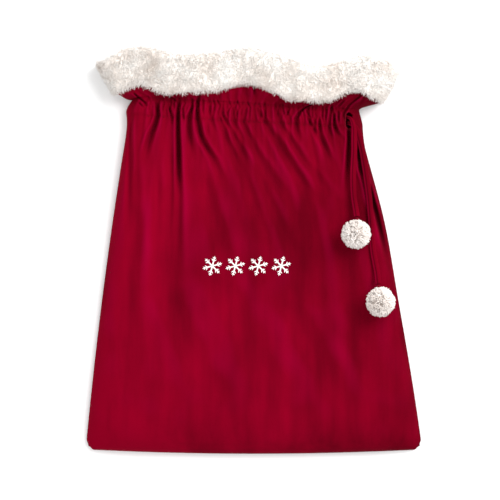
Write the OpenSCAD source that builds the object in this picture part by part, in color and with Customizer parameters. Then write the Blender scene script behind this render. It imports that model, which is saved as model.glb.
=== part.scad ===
// Drawstring gift sack of crimson velvet with a fleece cuff, lying flat on its back.
// X runs across the sack, +Y runs from the bottom seam to the mouth, +Z is up out of the front.
// The origin is on the floor, under the middle of the sack.

/* [Body] */
// Width along the bottom seam
sack_w = 612; // [500:1:760]
// Length from the bottom corners to the lower row of casing stitches
body_l = 592; // [470:1:760]
// Height of the lightly filled body above the floor
loft = 46; // [36:1:70]
// Thickness of the velvet panels
cloth = 3; // [2:0.5:4]
// How far the middle of the bottom edge bows below its corners
bottom_bow = 8; // [2:1:16]
// Distance over which the front rolls down to the side seams
side_roll = 90; // [60:1:130]
// Distance over which the front rolls down to the bottom seam
bottom_roll = 70; // [40:1:110]

/* [Neck] */
// Width of the gathered neck
neck_w = 420; // [340:1:500]
// How far the middle of the neck lies to the right of the middle of the sack
neck_shift = -17; // [-30:1:30]
// How much lower the right end of the neck lies than its left end
neck_drop = 24; // [0:1:40]
// Height of the drawstring casing, between its two rows of stitches
casing_h = 36; // [30:1:50]
// Height of the neck above the floor
neck_rise = 37; // [34:1:60]
// Distance over which the neck rolls down to its ends
neck_roll = 22; // [20:1:34]
// Thickness of the facing strips that close the casing inside
facing = 2; // [1:0.5:2.5]

/* [Cuff] */
// Length of the velvet header, from the casing up to the rim
header_l = 85; // [70:1:120]
// Width of the flared mouth, from tip to tip
mouth_w = 550; // [440:1:640]
// Height of the cuff that is folded over the rim
cuff_h = 70; // [50:1:76]
// Width of the cuff's lower edge
cuff_low_w = 481; // [400:1:560]
// Thickness of one layer of fleece
pile = 11; // [8:1:14]
// Height of the gap between the front and the back of the cuff
mouth_gap = 16; // [10:1:30]
// Height of the waves of the front of the cuff
cuff_wave = 4; // [0:1:6]
// How far the highest crest of the cuff stands above the rim line
crest = 16; // [4:1:24]

/* [Drawstring] */
// Width of the flat velvet drawstring
string_w = 11; // [8:1:13]
// Thickness of the flat drawstring
string_t = 5; // [4:0.5:6]
// Length of the buttonhole that the two tails come out of
exit_l = 30; // [28:1:34]
// Width of the buttonhole, pulled open
exit_w = 14; // [12:1:18]
// Diameter of a yarn pompom
pompom_d = 54; // [44:1:60]
// Diameter of the thread binding that ties a tail into its pompom
tie_d = 10; // [8:1:12]
// Height of the thread binding
tie_h = 9; // [6:1:12]

/* [Sewing] */
// Width of the overlocked seam allowance inside the sack
allowance = 9; // [6:1:12]
// Thickness of the overlocked seam allowance
allowance_t = 2; // [1:0.5:3]
// Length of one casing stitch
stitch_l = 4; // [3:0.5:6]
// Distance from one casing stitch to the next
stitch_pitch = 9; // [7:1:14]
// Thickness of the sewing thread
thread_t = 0.8; // [0.5:0.1:1.2]
// Width of the embroidered row
motif_w = 160; // [100:1:200]
// Size of one embroidered snowflake
flake_d = 36; // [24:1:40]
// Number of snowflakes in the row
flake_n = 4; // [2:1:5]

/* [Hidden] */

velvet = [0.55, 0.01, 0.12];
velvet_dark = [0.42, 0.01, 0.09];
fleece = [0.95, 0.92, 0.89];
thread = [0.62, 0.03, 0.15];

// Clearance between pieces that lie on each other
gap = 0.4;
// Share of the cuff's height at which the velvet rim ends inside the fold
rim_share = 0.84;
// Share of the cuff's height that the layer inside the mouth has
inner_share = 0.5;
// Distance from a tip of the mouth over which the inner layer tapers away
tip_taper = 60;
// How strongly the side seams curve outwards
side_bulge = 0.3;
// Where the middle of the buttonhole lies when the places below were chosen; they move with it
exit_at = [171.5, 235.6, 0];
// Centres of the pompoms, and of the bindings that they swing on
upper_pompom_at = [182, 30, 75];
upper_tie_at = [184, 55, 62];
lower_pompom_at = [226, -91, 69];
lower_tie_at = [223, -66, 57];

// Routes of the two tails, from inside the casing, through the buttonhole, to the bindings
front_tail_route = [
    [166, 242, 30.8], [170, 241, 35], [174, 238, 41], [178, 230, 44], [180, 216, 44], [180, 198, 45],
    [180, 180, 47], [179, 160, 48], [178, 140, 49], [178, 120, 49], [179, 100, 50], [181, 84, 53],
    [183, 71, 58], [184, 61.5, 62]
];
side_tail_route = [
    [162.2, 231, 14], [166.5, 231, 22], [170.5, 231, 31], [175.5, 229, 37.5], [182, 223, 38.5], [187, 212, 38],
    [191, 197, 38.5], [195, 180, 40], [198, 160, 43], [201, 140, 45], [204, 118, 46], [207, 94, 46],
    [209, 70, 46], [211, 46, 46], [212, 22, 46], [214, 0, 46], [218, -22, 46], [221, -39, 49],
    [222, -51, 54], [223, -59.5, 57]
];
// How far the drawstring turns up at the right end of the back casing
right_turn = 60;
// Distance from the neck's right end to the buttonhole
exit_inset = 17;
// Middle of the embroidered row
motif_at = [-13, -27];
// Widths of the tails along their routes: bunched in the buttonhole, flat outside it
bunched = [5, 5, 6, 8, 10];

// Levels of the layers in the neck, from the floor up
back_string_z = cloth + gap + string_t / 2;
back_facing_z = cloth + gap + string_t + gap;
front_string_z = neck_rise - cloth - gap - string_t / 2;
front_facing_z = neck_rise - cloth - gap - string_t - gap - facing;
// Levels of the layers in the cuff
back_header_z = pile + gap;
back_lining_z = back_header_z + cloth + gap;
front_header_z = back_lining_z + pile * 0.7 + mouth_gap + pile * 0.7 + gap;
edge_header_z = back_header_z + cloth + gap;

overall_l = bottom_bow + body_l + casing_h + header_l + crest;
low_y = -overall_l / 2 + bottom_bow;
neck_y = low_y + body_l;
casing_y = neck_y + casing_h;
rim_y = casing_y + header_l;
// Row parameter of the lower row of casing stitches; 1 is the upper row
neck_k = 0.9;
// Row parameter of the rim, inside the fold of the cuff
rim_k = 2 + rim_share;
// Rows of the velvet header, from the casing to the rim
header_rows = [1, 1.25, 1.5, 1.8, 2, 2.4, rim_k];
// Rows of the panels, closer together towards the bottom seam
panel_rows = concat([for (j = [0 : 12]) 0.86 * pow(j / 12, 1.5)], [neck_k, 0.95], header_rows);
// Columns of the panels and the cuff, closer together towards the side seams
panel_cols = [for (i = [0 : 30]) (1 + sin(6 * i - 90)) / 2];
// Ends of the drawstring's straight runs in the casing
bend_inset = 27;
bend_r = (front_string_z - back_string_z) / 2;
bend_z = (front_string_z + back_string_z) / 2;

// Waves of the cuff's top edge and of its lower edge, as [share of the width, height over its line]
top_waves = [[0, -12], [0.125, crest], [0.3, 0], [0.515, 12], [0.73, -21], [0.88, -1], [1, -28]];
low_waves = [[0, 1], [0.1, 14], [0.2, -1], [0.36, 2], [0.5, 17], [0.68, -13], [0.78, -15], [0.9, 5], [1, -14]];

function lerp(a, b, t) = a + (b - a) * t;
function clamp01(t) = min(1, max(0, t));
function smooth(t) = let (c = clamp01(t)) c * c * (3 - 2 * c);
function roll(d, reach) = d >= reach ? 1 : sqrt(max(0, 1 - pow(1 - d / reach, 2)));
function wave_at(waves, f, i = 0) = i >= len(waves) - 2 || f <= waves[i + 1][0]
    ? lerp(waves[i][1], waves[i + 1][1], smooth((f - waves[i][0]) / (waves[i + 1][0] - waves[i][0])))
    : wave_at(waves, f, i + 1);

// Outline of the body. k runs from 0 at the bottom seam through neck_k to 1 at the upper row of stitches.
function body_y(k) = k <= neck_k ? lerp(low_y, neck_y, k / neck_k)
    : lerp(neck_y, casing_y, (k - neck_k) / (1 - neck_k));
function spread(k) = let (t = 1 - clamp01(k / neck_k)) t * (1 + side_bulge * (1 - t));
function half_w(k) = lerp(neck_w, sack_w, spread(k)) / 2 - (k > neck_k ? 9 * (k - neck_k) / (1 - neck_k) : 0);
function mid_x(k) = lerp(neck_shift, 0, spread(k));
function body_xy(f, k, inset = 0) = [
    mid_x(k) + (half_w(k) - inset) * (2 * f - 1),
    body_y(k) - bottom_bow * (1 - pow(2 * f - 1, 2)) * pow(1 - k, 4) - neck_drop * (f - 0.5) * smooth(k)
        + inset * pow(1 - k, 8)
];
// The mouth. g runs from 0 at the casing to 1 at the cuff's lower edge and 2 at its top edge.
function cuff_low(f) = [
    neck_shift / 2 - 3 + cuff_low_w * (f - 0.5), rim_y - cuff_h + wave_at(low_waves, f)
];
function cuff_top(f) = [neck_shift / 2 + mouth_w * (f - 0.5), rim_y + wave_at(top_waves, f)];
function mouth_xy(f, g) = g <= 1 ? lerp(body_xy(f, 1), cuff_low(f), g) : lerp(cuff_low(f), cuff_top(f), g - 1);
function sack_xy(f, k, inset = 0) = k <= 1 ? body_xy(f, k, inset)
    : mouth_xy(f, k - 1) + [inset * (1 - 2 * f), 0];

// Height of the front's outer face
function edge_z(k) = lerp(cloth, edge_header_z, smooth(k - 1));
function crown_z(f, k) = k <= 1 ? lerp(loft, neck_rise, smooth((k - 0.55) / 0.3))
    : lerp(neck_rise, front_header_z + cloth + cuff_wave * cos(1080 * f + 40), smooth(k - 1));
function roll_reach(k) = k <= 1 ? lerp(side_roll, neck_roll, smooth((k - 0.35) / 0.5)) : neck_roll + 20 * smooth(k - 1);
function end_distance(f, k) = min(f, 1 - f) * 2 * (k <= 1 ? half_w(k) : lerp(half_w(1), mouth_w / 2, clamp01(k - 1)));
function shape(f, k) = roll(end_distance(f, k), roll_reach(k)) * roll(body_y(min(k, 1)) - low_y, bottom_roll);
function front_z(f, k, below = 0) = edge_z(k) + max(0, crown_z(f, k) - below - edge_z(k)) * shape(f, k);
function back_z(k) = back_header_z * smooth(k - 1);
// A closed solid between two grids of points, an upper one and a lower one, with the same rows and columns
module slab(upper, lower) {
    rows = len(upper);
    cols = len(upper[0]);
    count = rows * cols;
    points = concat([for (row = upper, p = row) p], [for (row = lower, p = row) p]);
    edge = concat(
        [for (i = [0 : cols - 1]) i],
        [for (j = [1 : rows - 1]) j * cols + cols - 1],
        [for (i = [cols - 2 : -1 : 0]) (rows - 1) * cols + i],
        [for (j = [rows - 2 : -1 : 1]) j * cols]
    );
    faces = concat(
        [for (j = [0 : rows - 2], i = [0 : cols - 2], t = [0, 1])
            let (a = j * cols + i, b = a + 1, c = a + cols + 1, d = a + cols) t == 0 ? [a, c, b] : [a, d, c]],
        [for (j = [0 : rows - 2], i = [0 : cols - 2], t = [0, 1])
            let (a = count + j * cols + i, b = a + 1, c = a + cols + 1, d = a + cols) t == 0 ? [a, b, c] : [a, c, d]],
        [for (n = [0 : len(edge) - 1], t = [0, 1])
            let (p = edge[n], q = edge[(n + 1) % len(edge)])
                t == 0 ? [p, q, q + count] : [p, q + count, p + count]]
    );
    polyhedron(points, faces);
}

// A closed solid through a row of closed sections
module loft_through(sections) {
    n = len(sections[0]);
    last = len(sections) - 1;
    sides = [for (j = [0 : last - 1], i = [0 : n - 1], t = [0, 1])
        let (a = j * n + i, b = j * n + (i + 1) % n, c = b + n, d = a + n) t == 0 ? [a, b, c] : [a, c, d]];
    polyhedron(
        [for (s = sections, p = s) p],
        concat(sides, [[for (i = [n - 1 : -1 : 0]) i]], [[for (i = [0 : n - 1]) last * n + i]])
    );
}

function direction(route, i) = let (
    a = route[max(i - 1, 0)],
    b = route[min(i + 1, len(route) - 1)]
) (b - a) / norm(b - a);

// A flat drawstring along a route that never stands upright, with its own width at each point
module string_along(route, widths, sides = 10) {
    loft_through([for (i = [0 : len(route) - 1]) let (
        along = direction(route, i),
        across = cross(along, [0, 0, 1]) / norm(cross(along, [0, 0, 1])),
        up = cross(across, along),
        w = widths[min(i, len(widths) - 1)]
    ) [for (n = [0 : sides - 1]) let (turn = 360 * n / sides)
        route[i] + across * w / 2 * cos(turn) + up * string_t / 2 * sin(turn)]]);
}

module front_panel() {
    color(velvet) difference() {
        slab(
            [for (k = panel_rows) [for (f = panel_cols) concat(sack_xy(f, k), front_z(f, k))]],
            [for (k = panel_rows) [for (f = panel_cols) concat(sack_xy(f, k, cloth), front_z(f, k, cloth))]]
        );
        exit_prism(0);
    }
}

// The buttonhole's outline, upright through the front of the neck near its right end
module exit_prism(grow) {
    middle = moved(exit_at);
    translate([middle[0], middle[1], front_facing_z + facing])
        linear_extrude(neck_rise) union() {
            square([exit_w + 2 * grow, exit_l - exit_w], center = true);
            for (side = [-1, 1]) translate([0, side * (exit_l - exit_w) / 2]) circle(d = exit_w + 2 * grow, $fn = 32);
        }
}

module back_panel() {
    color(velvet) slab(
        [for (k = panel_rows) [for (f = panel_cols) concat(sack_xy(f, k), back_z(k) + cloth)]],
        [for (k = panel_rows) [for (f = panel_cols) concat(sack_xy(f, k), back_z(k))]]
    );
}

// A strip sewn inside the casing, level, that ends short of the two ends of the neck
module facing_strip(z, left, right) {
    color(velvet_dark) translate([0, 0, z]) linear_extrude(facing) polygon([
        body_xy(0, neck_k) + [left, 0], body_xy(1, neck_k) - [right, 0], body_xy(1, 1) - [right, 0], body_xy(0, 1) + [left, 0]
    ]);
}

module front_casing_facing() {
    facing_strip(front_facing_z, bend_inset, bend_inset);
}

module back_casing_facing() {
    facing_strip(back_facing_z, bend_inset, 2 * bend_inset);
}

// One half of the cuff: fleece outside the header, rolled over its rim and down inside the mouth.
// side is 1 for the front and -1 for the back. Near the tips the layer inside the mouth runs out.
module cuff_half(side) {
    sections = [for (f = panel_cols) cuff_section(f, side)];
    color(fleece) loft_through(side > 0 ? sections : [for (s = sections) reversed(s)]);
}

function reversed(list) = [for (i = [len(list) - 1 : -1 : 0]) list[i]];
function header_face(f, side) = side > 0 ? front_z(f, 2) + gap : back_z(2) - gap;
function cuff_section(f, side) = let (
    tip = min(f, 1 - f),
    near = lerp(gap, cloth + 2 * gap, clamp01((tip - 0.026) / 0.02)),
    lining = 0.7 * pile * lerp(0.2, 1, smooth((tip - 0.03) * mouth_w / tip_taper)),
    far = near + (tip < 0.026 ? gap : lining),
    low = lerp(rim_share + 0.08, 1 - inner_share, smooth((tip - 0.05) * mouth_w / tip_taper)),
    profile = [
        [0, 0], [0, 0.4 * pile], [0.05, 0.8 * pile], [0.14, pile], [0.5, pile], [0.86, pile], [0.96, 0.8 * pile],
        [1, 0.3 * pile], [1, -0.4 * far], [0.98, -0.85 * far], [0.95, -far], [low, -far], [low, -near],
        [rim_share + 0.04, -near], [rim_share + 0.03, 0]
    ]
) [for (p = profile) concat(sack_xy(f, 2 + p[0]), header_face(f, side) + side * p[1])];

module front_cuff() {
    cuff_half(1);
}

module back_cuff() {
    cuff_half(-1);
}

// Ends of the straight runs: the left bend joins them, and at the right they meet the tails
function run_left() = body_xy(0, 0.95) + [bend_inset, 0];
function moved(p) = let (shift = body_xy(1, 0.95) - [exit_inset, 2]) p + [shift[0] - exit_at[0], shift[1] - exit_at[1], 0];
right_bend_at = moved([150, side_tail_route[0][1], bend_z]);

module drawstring_front_run() {
    end = moved(front_tail_route[0]);
    color(velvet) string_along([
        concat(run_left() + [gap, 0], front_string_z), [end[0] - string_t / 2, end[1], front_string_z]
    ], [string_w, bunched[0]]);
}

module drawstring_back_run() {
    color(velvet) string_along([
        concat(run_left() + [gap, 0], back_string_z), [right_bend_at[0] - gap, right_bend_at[1], back_string_z]
    ], [string_w, bunched[0]]);
}

// Part of a turn of the drawstring in an upright plane along X
module string_turn(angle, width) {
    rotate([90, 0, 0]) rotate_extrude(angle = angle, $fn = 64) translate([bend_r, 0])
        polygon([for (n = [0 : 11]) [string_t / 2 * cos(30 * n), width / 2 * sin(30 * n)]]);
}

module drawstring_left_bend() {
    color(velvet) translate(concat(run_left() - [gap, 0], bend_z)) rotate([0, -90, 0])
        string_turn(180, string_w);
}

module drawstring_right_bend() {
    color(velvet) translate(right_bend_at) rotate([0, 90, 0])
        string_turn(right_turn, bunched[0]);
}

module front_tail() {
    color(velvet) string_along([for (p = front_tail_route) moved(p)], bunched);
}

module side_tail() {
    color(velvet) string_along([for (p = side_tail_route) moved(p)], bunched);
}

// The thread binding that a pompom swings on
module tie(at) {
    color(thread) translate(at) cylinder(d = tie_d, h = tie_h, center = true, $fn = 40);
}

module upper_pompom_tie() {
    tie(moved(upper_tie_at));
}

module lower_pompom_tie() {
    tie(moved(lower_tie_at));
}

// A yarn ball with a notch that its binding sits in
module pompom(at, tie_at) {
    color(fleece) difference() {
        translate(at) sphere(d = pompom_d, $fn = 48);
        translate([tie_at[0], tie_at[1], 0]) cylinder(d = tie_d + 2 * gap, h = 2 * at[2], $fn = 40);
    }
}

module upper_pompom() {
    pompom(moved(upper_pompom_at), moved(upper_tie_at));
}

module lower_pompom() {
    pompom(moved(lower_pompom_at), moved(lower_tie_at));
}

// An overlocked allowance inside the sack, along one side seam
module side_seam(side) {
    rows = [for (j = [0 : 16]) lerp(0.05, neck_k - 0.01, j / 16)];
    insets = [2 * cloth, 2 * cloth + allowance];
    low = [for (k = rows) [for (d = side > 0 ? [insets[1], insets[0]] : insets)
        concat(body_xy(side > 0 ? 1 : 0, k) - [side * d, 0], cloth + gap)]];
    color(velvet_dark) slab([for (row = low) [for (p = row) p + [0, 0, allowance_t]]], low);
}

module left_side_seam() {
    side_seam(-1);
}

module right_side_seam() {
    side_seam(1);
}

module bottom_seam() {
    low = [for (d = [2 * cloth, 2 * cloth + allowance]) [for (i = [0 : 20])
        concat(body_xy(lerp(0.03, 0.97, i / 20), 0) + [0, d], cloth + gap)]];
    color(velvet_dark) slab([for (row = low) [for (p = row) p + [0, 0, allowance_t]]], low);
}

// Rows of stitches along the casing, level, between two shares of the neck's width
module casing_stitches(z, from, to) {
    count = floor((to - from) * neck_w / stitch_pitch);
    color(thread) for (k = [neck_k + 0.006, 0.994], i = [0 : count - 1])
        translate(concat(body_xy(lerp(from, to, (i + 0.5) / count), k), z + thread_t / 2 + gap / 2))
            cube([stitch_l, thread_t, thread_t], center = true);
}

module front_casing_stitches() {
    casing_stitches(neck_rise, 0.08, 0.9);
}

module back_casing_stitches() {
    casing_stitches(back_facing_z + facing, 0.08, 0.86);
}

// A thin layer on the front of the neck's right end, between two heights above the velvet
module neck_skin(low, high) {
    ks = [for (j = [0 : 8]) lerp(neck_k - 0.03, 1, j / 8)];
    fs = [for (i = [0 : 12]) lerp(0.88, 0.995, i / 12)];
    slab(
        [for (k = ks) [for (f = fs) concat(body_xy(f, k), front_z(f, k) + high)]],
        [for (k = ks) [for (f = fs) concat(body_xy(f, k), front_z(f, k) + low)]]
    );
}

module exit_buttonhole() {
    color(thread) intersection() {
        neck_skin(gap / 2, gap / 2 + 1);
        difference() {
            exit_prism(1.6);
            exit_prism(0);
        }
    }
}

module exit_bar_tacks() {
    middle = moved(exit_at);
    color(thread) intersection() {
        neck_skin(gap / 2, gap / 2 + 1);
        for (side = [-1, 1]) translate([middle[0], middle[1] + side * (exit_l / 2 + 3), neck_rise / 2 + 10])
            cube([exit_w * 0.6, 1.6, neck_rise], center = true);
    }
}

// A six-armed snowflake of satin stitch, flat
module snowflake() {
    arm = flake_d / 2;
    bar = flake_d / 15;
    for (turn = [0 : 60 : 300]) rotate(turn) {
        translate([0, -bar / 2]) square([arm, bar]);
        for (at = [0.5, 0.76], side = [-1, 1]) translate([arm * at, 0]) rotate(side * 50)
            translate([0, -bar / 2.6]) square([arm * (1.05 - at) * 0.55, bar / 1.3]);
    }
    circle(r = bar * 1.5, $fn = 24);
}

module snowflake_embroidery() {
    step = (motif_w - flake_d) / max(1, flake_n - 1);
    color(fleece) translate([motif_at[0] - motif_w / 2 + flake_d / 2, motif_at[1], loft + gap / 2])
        linear_extrude(1.2) for (i = [0 : flake_n - 1]) translate([i * step, 0]) rotate(15) snowflake();
}

module embroidery_backing() {
    color("white") translate([motif_at[0], motif_at[1], loft - cloth - gap - 0.6])
        linear_extrude(0.6) square([motif_w + 20, flake_d + 16], center = true);
}

front_panel();
back_panel();
front_casing_facing();
back_casing_facing();
front_cuff();
back_cuff();
drawstring_front_run();
drawstring_back_run();
drawstring_left_bend();
drawstring_right_bend();
front_tail();
side_tail();
upper_pompom_tie();
lower_pompom_tie();
upper_pompom();
lower_pompom();
left_side_seam();
right_side_seam();
bottom_seam();
front_casing_stitches();
back_casing_stitches();
exit_buttonhole();
exit_bar_tacks();
snowflake_embroidery();
embroidery_backing();
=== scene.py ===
import math

import bpy
import numpy as np
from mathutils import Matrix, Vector


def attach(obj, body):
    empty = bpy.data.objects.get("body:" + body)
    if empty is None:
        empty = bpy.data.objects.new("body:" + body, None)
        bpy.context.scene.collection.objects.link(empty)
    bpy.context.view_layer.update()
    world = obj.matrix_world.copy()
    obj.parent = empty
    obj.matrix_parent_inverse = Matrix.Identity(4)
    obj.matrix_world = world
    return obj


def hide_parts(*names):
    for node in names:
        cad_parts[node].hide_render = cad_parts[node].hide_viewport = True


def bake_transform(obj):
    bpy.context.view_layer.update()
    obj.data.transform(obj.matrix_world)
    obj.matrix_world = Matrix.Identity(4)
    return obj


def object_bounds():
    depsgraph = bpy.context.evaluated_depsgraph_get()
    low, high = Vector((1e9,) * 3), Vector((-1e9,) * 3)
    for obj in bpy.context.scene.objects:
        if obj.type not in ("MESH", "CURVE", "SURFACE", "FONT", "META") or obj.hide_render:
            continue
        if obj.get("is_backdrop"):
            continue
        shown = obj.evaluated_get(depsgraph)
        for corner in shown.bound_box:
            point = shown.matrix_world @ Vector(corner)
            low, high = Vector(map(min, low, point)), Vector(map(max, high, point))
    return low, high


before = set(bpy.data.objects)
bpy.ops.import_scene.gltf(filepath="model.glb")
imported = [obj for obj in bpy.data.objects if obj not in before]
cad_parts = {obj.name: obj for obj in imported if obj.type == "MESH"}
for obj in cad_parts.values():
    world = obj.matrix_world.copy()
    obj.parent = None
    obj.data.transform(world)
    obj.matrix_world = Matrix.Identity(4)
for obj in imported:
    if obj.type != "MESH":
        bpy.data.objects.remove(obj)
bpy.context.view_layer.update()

# ---- Camera
# The sack lies flat on its back with its mouth away from the viewer, and is seen from straight above with a
# long lens, so that its sides hardly lean.
scene = bpy.context.scene
scene.view_settings.view_transform = "Standard"
camera_data = bpy.data.cameras.new("camera")
camera_data.lens = 150
camera = bpy.data.objects.new("camera", camera_data)
camera.location = (-0.0072, 0.0018, 3.79)
scene.collection.objects.link(camera)
scene.camera = camera


# ---- Tails of the drawstring
# The string is one flat tube of velvet, sewn along its edge and turned right side out. Both ends come out of
# one buttonhole, hang down over the front, and end in a thread binding that holds a pompom.
class Wire:
    """A value in a material, so that patterns add up with ordinary arithmetic."""

    def __init__(self, finish, socket):
        self.finish, self.socket = finish, socket

    def math(self, operation, first, second):
        return self.finish.node("ShaderNodeMath", {0: first, 1: second}, operation=operation)

    def __add__(self, other):
        return self.math("ADD", self, other)

    __radd__ = __add__

    def __sub__(self, other):
        return self.math("SUBTRACT", self, other)

    def __rsub__(self, other):
        return self.math("SUBTRACT", other, self)

    def __mul__(self, other):
        return self.math("MULTIPLY", self, other)

    __rmul__ = __mul__

    def limited(self):
        return self.math("MINIMUM", self.math("MAXIMUM", self, 0), 1)


class Finish:
    """A material being made from nodes round one Principled BSDF."""

    def __init__(self, name, **constants):
        self.material = bpy.data.materials.new(name)
        self.material.use_nodes = True
        self.tree = self.material.node_tree
        self.shader = self.tree.nodes["Principled BSDF"]
        for key, value in constants.items():
            self.shader.inputs[key.replace("_", " ")].default_value = value

    def put(self, socket, value):
        if isinstance(value, Wire):
            self.tree.links.new(value.socket, socket)
        else:
            socket.default_value = value

    def node(self, kind, inputs=(), output=0, **settings):
        made = self.tree.nodes.new(kind)
        for key, value in settings.items():
            setattr(made, key, value)
        for key, value in dict(inputs).items():
            self.put(made.inputs[key], value)
        return Wire(self, made.outputs[output])

    def noise(self, scale, stretch=(1, 1, 1), detail=2.0):
        place = self.node("ShaderNodeTexCoord", output="Object")
        place = self.node("ShaderNodeMapping", {"Vector": place, "Scale": stretch})
        return self.node("ShaderNodeTexNoise", {"Vector": place, "Scale": scale, "Detail": detail})

    def mixed(self, share, first, second):
        return self.node("ShaderNodeMix", {0: share, 6: first, 7: second}, output=2, data_type="RGBA")

    def surface(self, colour, height=None, distance=0.001, strength=1.0):
        self.put(self.shader.inputs["Base Color"], colour)
        if height is not None:
            bump = self.node("ShaderNodeBump", {"Height": height, "Distance": distance, "Strength": strength})
            self.put(self.shader.inputs["Normal"], bump)
        return self.material


def paint(red, green, blue):
    """A colour given as 0 to 255, as the shader wants it."""
    share = np.array([red, green, blue]) / 255
    linear = np.where(share > 0.04, ((share + 0.055) / 1.055) ** 2.4, share / 12.92)
    return (*(float(x) for x in linear), 1.0)


def velvet_finish(name, dark, bright):
    """Short-pile velvet: brushed patches and streaks along the fall, painted shade that darkens it towards
    the right, the top and into the valleys, and a painted highlight on the crests.
    """
    finish = Finish(name, Roughness=0.9, Specular_IOR_Level=0.015, Sheen_Weight=0.05, Sheen_Roughness=0.4)
    finish.shader.inputs["Sheen Tint"].default_value = paint(190, 10, 60)
    patches = finish.noise(6, stretch=(1, 0.7, 1), detail=4)
    streaks = finish.noise(30, stretch=(1, 0.14, 1), detail=3)
    specks = finish.noise(900, detail=1)
    place = finish.node("ShaderNodeTexCoord", output="Object")
    across = finish.node("ShaderNodeSeparateXYZ", {0: place}, output="X")
    upwards = finish.node("ShaderNodeSeparateXYZ", {0: place}, output="Y")
    # Painted shade: the colour darkens towards the right and towards the top of the sack.
    painted_shade_slope = across * -1.9 + upwards * -0.5
    light = (patches * 1.8 + streaks * 1.5 + specks * 0.4 + painted_shade_slope - 1.35).limited()
    fold = finish.node("ShaderNodeAttribute", output="Fac", attribute_name="fold")
    crest = finish.node("ShaderNodeAttribute", output="Fac", attribute_name="crest")
    colour = finish.mixed(light, dark, bright)
    # Painted highlight: a brighter magenta on the ridges.
    colour = finish.mixed((crest * 0.4).limited(), colour, paint(146, 0, 50))
    # Painted shade: the valleys darken to near black.
    colour = finish.mixed((fold * 0.9).limited(), colour, paint(34, 0, 8))
    weave = finish.noise(1400, detail=1) * 0.6 + finish.noise(160, stretch=(1, 0.4, 1)) * 0.5
    return finish.surface(colour, weave, distance=0.0006, strength=0.5)


VELVET = velvet_finish("crimson_velvet", paint(88, 0, 16), paint(126, 0, 28))
STRING_VELVET = velvet_finish("string_velvet", paint(94, 0, 18), paint(130, 0, 30))


def mesh_piece(name, vertices, faces, material):
    """A smooth piece from its vertices and faces, standing at the origin."""
    mesh = bpy.data.meshes.new(name)
    mesh.from_pydata(np.asarray(vertices, float).reshape(-1, 3).tolist(), [], faces)
    mesh.polygons.foreach_set("use_smooth", [True] * len(mesh.polygons))
    mesh.materials.append(material)
    piece = bpy.data.objects.new(name, mesh)
    scene.collection.objects.link(piece)
    return piece


def point_value(piece, name, values):
    """Stores one number per vertex for the material to read."""
    attribute = piece.data.attributes.new(name, "FLOAT", "POINT")
    attribute.data.foreach_set("value", np.asarray(values, np.float32))


def grid_faces(rows, columns, round_rows=False):
    """Faces that join a block of rows x columns points, whose rows close on themselves if round_rows."""
    last = columns if round_rows else columns - 1
    row, column = np.meshgrid(np.arange(rows - 1), np.arange(last), indexing="ij")
    near, ahead = row * columns + column, row * columns + (column + 1) % columns
    return np.stack([near, ahead, ahead + columns, near + columns], -1).reshape(-1, 4).tolist()


def smooth_line(route, step=0.002):
    """A smooth curve through given points in millimetres, as evenly spaced points in metres."""
    points = np.array(route, float) / 1000
    ends = np.vstack([2 * points[0] - points[1], points, 2 * points[-1] - points[-2]])
    t = np.linspace(0, 1, 12, endpoint=False)[:, None]
    parts = [
        0.5 * (2 * b + (c - a) * t + (2 * a - 5 * b + 4 * c - d) * t**2 + (3 * b - a - 3 * c + d) * t**3)
        for a, b, c, d in zip(ends, ends[1:], ends[2:], ends[3:])
    ]
    fine = np.vstack([*parts, points[-1:]])
    along = np.concatenate([[0], np.cumsum(np.linalg.norm(np.diff(fine, axis=0), axis=1))])
    places = np.linspace(0, along[-1], max(4, int(along[-1] / step)))
    return np.stack([np.interp(places, along, fine[:, i]) for i in range(3)], 1)


def string_tube(name, line, widths, material=STRING_VELVET, thickness=0.0046, sides=20):
    """A flat velvet tube along a line, with a sewn groove along one edge, small creases and closed ends."""
    along = np.gradient(line, axis=0)
    along /= np.linalg.norm(along, axis=1)[:, None]
    across = np.cross(along, (0, 0, 1))
    across /= np.linalg.norm(across, axis=1)[:, None]
    up = np.cross(across, along)
    turn = np.linspace(0, 2 * math.pi, sides, endpoint=False)
    steps = np.arange(len(line))[:, None]
    crease = 1 + 0.05 * np.sin(0.9 * steps + 3 * np.sin(turn)) + 0.04 * np.sin(0.37 * steps - 2 * turn)
    seam = np.exp(-(((turn - 1.25) / 0.2) ** 2))
    groove = 1 - 0.2 * seam
    flat = np.sign(np.sin(turn)) * np.abs(np.sin(turn)) ** 0.8
    wide = (np.asarray(widths)[:, None] / 2 * np.cos(turn) * groove)[..., None] * across[:, None]
    thick = (thickness / 2 * flat * crease * groove)[..., None] * up[:, None]
    rings = line[:, None] + wide + thick
    first, end = len(line) * sides, (len(line) - 1) * sides
    caps = [(first, n, (n + 1) % sides) for n in range(sides)]
    caps += [(first + 1, end + (n + 1) % sides, end + n) for n in range(sides)]
    faces = [face[::-1] for face in grid_faces(len(line), sides, round_rows=True)] + caps
    points = np.vstack([rings.reshape(-1, 3), line[:1], line[-1:]])
    piece = mesh_piece(name, points, faces, material)
    # Painted shade along the sewn groove, and a painted highlight along one upper edge of the tube.
    point_value(piece, "fold", [*np.tile(0.75 * seam, len(line)), 0, 0])
    point_value(piece, "crest", [*np.tile(np.exp(-(((turn - 0.6) / 0.3) ** 2)), len(line)), 0, 0])
    return piece


def bunched(line, narrow=0.0052, full=0.0108, within=0.05):
    """Widths along a tail: gathered up in the buttonhole, and flat a little further on."""
    along = np.concatenate([[0], np.cumsum(np.linalg.norm(np.diff(line, axis=0), axis=1))])
    share = np.clip(along / within, 0, 1)
    return narrow + (full - narrow) * share * share * (3 - 2 * share)


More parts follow.
